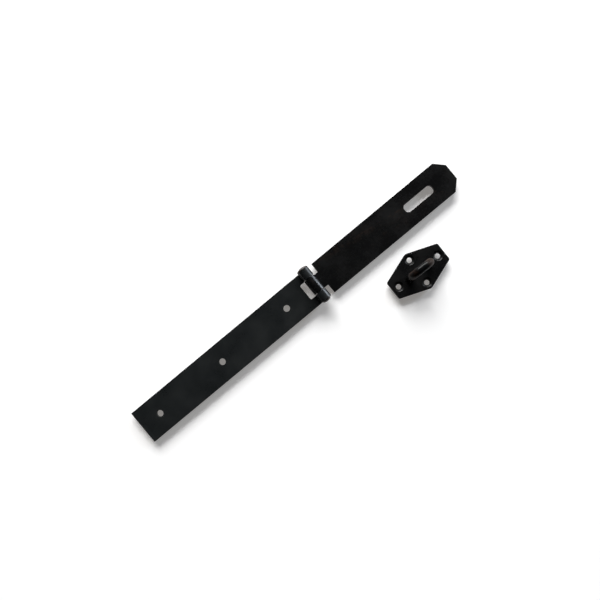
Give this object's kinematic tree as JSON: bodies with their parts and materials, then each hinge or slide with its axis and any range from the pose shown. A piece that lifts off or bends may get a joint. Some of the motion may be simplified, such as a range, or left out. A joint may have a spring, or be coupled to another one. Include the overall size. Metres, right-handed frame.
{
  "type": "hasp and staple",
  "caption": "Black enamelled steel hasp: flat screw-on leaf hinged to a slotted strap, with a six-sided plate carrying a U-shaped padlock staple.",
  "frame": {"origin": "centre of the fixed leaf's back face, midway between its square end and the hinge pin", "axes": "+X along the hasp from the fixed leaf to the slotted tip, +Y across it, +Z out of the surface that it is screwed to"},
  "size_m": [0.415, 0.1017, 0.03],
  "materials": {
    "leaf_enamel": "satin black stoved enamel on steel",
    "strap_enamel": "satin black stoved enamel on steel",
    "pin_enamel": "black enamel, thin over the hammered head",
    "plate_enamel": "satin black stoved enamel on steel",
    "loop_enamel": "half-gloss black enamel on round bar, rubbed at the bends"
  },
  "bodies": {
    "fixed_leaf": {"fixed_leaf": "leaf_enamel", "hinge_pin": "pin_enamel", "staple_plate": "plate_enamel", "staple_loop": "loop_enamel"},
    "hasp_strap": {"hasp_strap": "strap_enamel"}
  },
  "joints": [
    {"name": "strap_hinge", "type": "hinge", "parent": "fixed_leaf", "child": "hasp_strap", "pos_m": [0.1155, 0, 0.0065], "axis": [0, -1, 0], "range_deg": [0, 182]}
  ]
}
